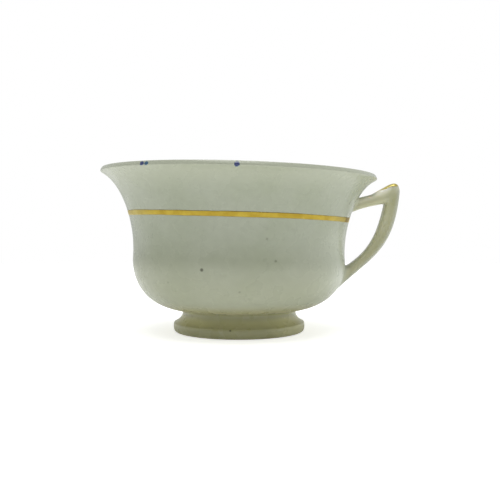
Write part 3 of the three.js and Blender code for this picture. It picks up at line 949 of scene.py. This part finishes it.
def handleStroke():
    # a brush stroke along the crest of the arm: it starts fine, fills the crest and stops past the corner
    station = np.linspace(*stroke["stations"], stroke["steps"])[:, None]
    side = np.linspace(-1, 1, stroke["across"])[None, :]
    share = np.linspace(0, 1, stroke["steps"])[:, None]
    full = stroke["start"] + (1 - stroke["start"]) * smooth(share, 0, stroke["fullFrom"])
    full = full * (1 - stroke["endLoss"] * smooth(share, stroke["endFrom"], 1))
    full = full * (1 + wander(share * 2 * math.pi, 0.05, stroke["waves"]))
    angle = side * full * stroke["half"]
    lift = stroke["lift"] * (1 - 0.8 * side ** 4) + 0 * station
    upper, lower = (handleSurface(station + 0 * side, angle, k) for k in (lift, 0 * lift - stroke["sunk"]))
    grid = np.concatenate([upper, lower[:, ::-1]], 1)
    ends = np.abs(2 * share - 1) ** 8
    doubled = np.concatenate([0 * side + ends, 0 * side + ends], 1)
    lap = smooth(share, *stroke["lapFrom"]) * stroke["lapShare"] + 0 * doubled
    most, least = stroke["worn"]
    worn = most - (most - least) * smooth(share, *stroke["wornFrom"]) + 0 * doubled
    marks = {"across": np.append(doubled, [1, 1]), "lap": np.append(lap, [0, 1])}
    marks["worn"] = np.append(worn, stroke["worn"])
    makePiece("handle_gilt_line", *cappedGrid(sag(grid)), "handle_gilt_line", "gilding", wornGold, marks)


handleStroke()

dabs = {  # degrees from the front, length round the rim and reach over the lip in mm from its outer foot
    "blue_rim_dab_1": {"angle": -37.4, "length": 1.85, "lip": (0.45, 2.0), "tail": 0.0, "tint": "navy"},
    "blue_rim_dab_2": {"angle": -35.2, "length": 1.7, "lip": (0.45, 1.95), "tail": 0.0, "tint": "teal"},
    "blue_rim_dab_3": {"angle": -0.8, "length": 1.75, "lip": (-0.45, 1.95), "tail": 0.45, "tint": "navy"},
}
lipTurns = np.linspace(-0.4, math.pi, 401)  # a little below the lip its line still follows the wall
lipSteps = np.linalg.norm(np.diff(lipPoint(lipTurns, 0 * lipTurns), axis=0), axis=1)
lipLengths = np.concatenate([[0], np.cumsum(lipSteps)])
lipLengths -= np.interp(0, lipTurns, lipLengths)
dabLift, dabEdge, dabSunk = 0.08 * mm, 0.015 * mm, 0.05 * mm
dabWaves = ((2, 0.5), (3, 2.0), (5, 1.0))


def rimDab(name, angle, length, lip, tail, tint):
    # a blob on the lip: circles of share s about its middle, raised by lift * (1 - s^2), closed underneath
    share = np.concatenate([np.linspace(0.05, 1, 10), np.linspace(1, 0.05, 6)[1:]])[:, None]
    above = np.concatenate([np.ones(10), np.zeros(5)])[:, None]
    turn = np.linspace(0, 2 * math.pi, 36, endpoint=False)[None, :]
    rim = 1 + wander(turn, 0.09, dabWaves)
    across = share * rim * np.cos(turn)
    along = share * rim * np.sin(turn)
    narrow = 1 - tail * np.clip(-along, 0, 1)
    low, high = np.array(lip) * mm
    lipAngle = np.interp((low + high) / 2 + along * (high - low) / 2, lipLengths, lipTurns)
    lift = np.where(above > 0, dabLift * (1 - share ** 2) + dabEdge, -dabSunk)
    spot = lipPoint(lipAngle, lift + 0 * lipAngle)
    lean = (spot[..., 0] / spot[..., 0].mean() - 1) * math.tan(math.radians(angle))
    azimuth = math.radians(angle) + across * narrow * length * mm / 2 / rimRadius - lean
    grid = sag(around(spot[..., 0], azimuth, spot[..., 1]))
    faded = share * np.ones_like(turn) + tail * np.clip(-along, 0, 1)
    marks = {"faded": np.concatenate([faded.ravel(), [0.0, 0.0]])}
    material = enamelMaterial("enamel_" + name[-1], tint)
    makePiece(name, *cappedGrid(grid), name, "blue_enamel", material, marks)


for name, settings in dabs.items():
    rimDab(name, **settings)

print("stage 5: floor, light and camera")

room = {
    "floorRadius": (0.42, 0.62),  # the pale table fades into the white backdrop between these
    "floorTone": shade(243, 243, 240),
    "floorGlow": (0.4, 0.2),  # the table's own light in front of the cup and behind it
    "glowShadow": (0.01, 0.05),  # its glow painted dark within these distances, as the cup's shadow
    "floorWhite": 0.6,  # and as the camera sees it
    "sky": (0.97, 0.99, 1.0, 1.0),
    "skySides": {0: 0.18, 90: 0.96, 180: 0.68, -90: 0.66},  # brightness by degrees from the camera's side
    "skyTop": 0.42,
    "softTop": 5.8,
}


def floorPiece():
    # a flat disc of rings and spokes, with a faint glow of its own that lights the cup from below, painted dark
    # round the cup as its shadow, clear at its edge
    rings, spokes = 24, 96
    radius = np.linspace(0.002, room["floorRadius"][1], rings)[:, None]
    turn = np.arange(spokes)[None, :] * 2 * math.pi / spokes
    points = np.stack([radius * np.cos(turn), radius * np.sin(turn), 0 * radius * turn], -1).reshape(-1, 3)
    mesh = bpy.data.meshes.new("floor")
    faces = gridFaces(rings, spokes, wrapColumns=True)[:, ::-1].tolist() + [list(range(spokes))]
    mesh.from_pydata(points.tolist(), [], faces)
    material, w, surface = newMaterial("paleFloor")
    place = w.place()
    faint = w.ramp(w.noise(place, 6.0, 2.0), 0.3, 0.7)
    w.feed(surface, "Base Color", w.mix(faint, room["floorTone"], shade(240, 240, 238)))
    surface.inputs["Roughness"].default_value = 0.9
    surface.inputs["Specular IOR Level"].default_value = 0.1
    surface.inputs["Emission Color"].default_value = (1, 1, 1, 1)
    away = w.node("ShaderNodeVectorMath", {"operation": "LENGTH"}, Vector=place).outputs["Value"]
    depth = w.node("ShaderNodeSeparateXYZ", Vector=place).outputs["Y"]
    # painted shadow: the glow fades out near the cup
    near = w.ramp(away, *room["glowShadow"])
    glow = w.math("MULTIPLY", w.ramp(depth, -0.05, 0.1, *room["floorGlow"]), near)
    seen = w.node("ShaderNodeLightPath").outputs["Is Camera Ray"]
    extra = w.math("MULTIPLY", seen, w.math("SUBTRACT", room["floorWhite"], glow))
    w.feed(surface, "Emission Strength", w.math("ADD", glow, extra))
    w.feed(surface, "Alpha", w.ramp(away, *room["floorRadius"], 1.0, 0.0))
    mesh.materials.append(material)
    floor = bpy.data.objects.new("floor", mesh)
    bpy.context.collection.objects.link(floor)


def studioSky():
    # a pale surround: each side fades over a quarter turn, overhead is even, the camera sees plain white
    world = bpy.data.worlds.new("studioSky")
    bpy.context.scene.world = world
    world.use_nodes = True
    w = Wiring(world.node_tree)
    nodes = world.node_tree.nodes
    direction = w.node("ShaderNodeSeparateXYZ", Vector=w.node("ShaderNodeTexCoord").outputs["Generated"])
    turn = w.math("ARCTAN2", direction.outputs["X"], w.math("MULTIPLY", direction.outputs["Y"], -1.0))
    level = 0.0
    for degrees, bright in room["skySides"].items():
        away = w.math("PINGPONG", w.math("SUBTRACT", turn, math.radians(degrees)), math.pi)
        level = w.math("ADD", level, w.ramp(away, 0.0, math.pi / 2, bright, 0.0))
    high = w.ramp(direction.outputs["Z"], 0.5, 0.8)
    strength = w.math("ADD", level, w.math("MULTIPLY", high, w.math("SUBTRACT", room["skyTop"], level)))
    light = nodes["Background"]
    light.inputs["Color"].default_value = room["sky"]
    w.feed(light, "Strength", strength)
    plain = w.node("ShaderNodeBackground")
    plain.inputs["Color"].default_value = (1, 1, 1, 1)
    mixed = w.node("ShaderNodeMixShader")
    w.tree.links.new(w.node("ShaderNodeLightPath").outputs["Is Camera Ray"], mixed.inputs[0])
    w.tree.links.new(light.outputs[0], mixed.inputs[1])
    w.tree.links.new(plain.outputs[0], mixed.inputs[2])
    w.tree.links.new(mixed.outputs[0], nodes["World Output"].inputs["Surface"])


def areaLight(name, place, aim, size, power):
    # a round soft lamp, turned so that it faces its aim
    light = bpy.data.lights.new(name, "AREA")
    light.shape, light.size, light.energy = "DISK", size, power
    lamp = bpy.data.objects.new(name, light)
    lamp.location = place
    bpy.context.collection.objects.link(lamp)
    direction = np.array(aim) - np.array(place)
    flat = math.hypot(direction[0], direction[1])
    lamp.rotation_euler = (math.atan2(flat, -direction[2]), 0, math.atan2(-direction[0], direction[1]))


view = {"distance": 271.9 * mm, "eye": 38.84 * mm, "pitch": 0.029, "turn": 0.0153, "lens": 51.0}


def photoCamera():
    # stands in front of the cup's axis at eye height, pitched down and turned a little to the handle
    data = bpy.data.cameras.new("photoCamera")
    data.sensor_width, data.lens = 36.0, view["lens"]
    data.clip_start, data.clip_end = 0.01, 50.0
    camera = bpy.data.objects.new("photoCamera", data)
    camera.location = (axisX, -view["distance"], view["eye"])
    camera.rotation_euler = (math.pi / 2 - view["pitch"], 0, -view["turn"])
    bpy.context.collection.objects.link(camera)
    bpy.context.scene.camera = camera


floorPiece()
studioSky()
areaLight("softTop", (0.0, -0.1, 0.9), (0.0, 0.0, 0.0), 0.7, room["softTop"])
photoCamera()
bpy.context.scene.view_settings.view_transform = "Standard"
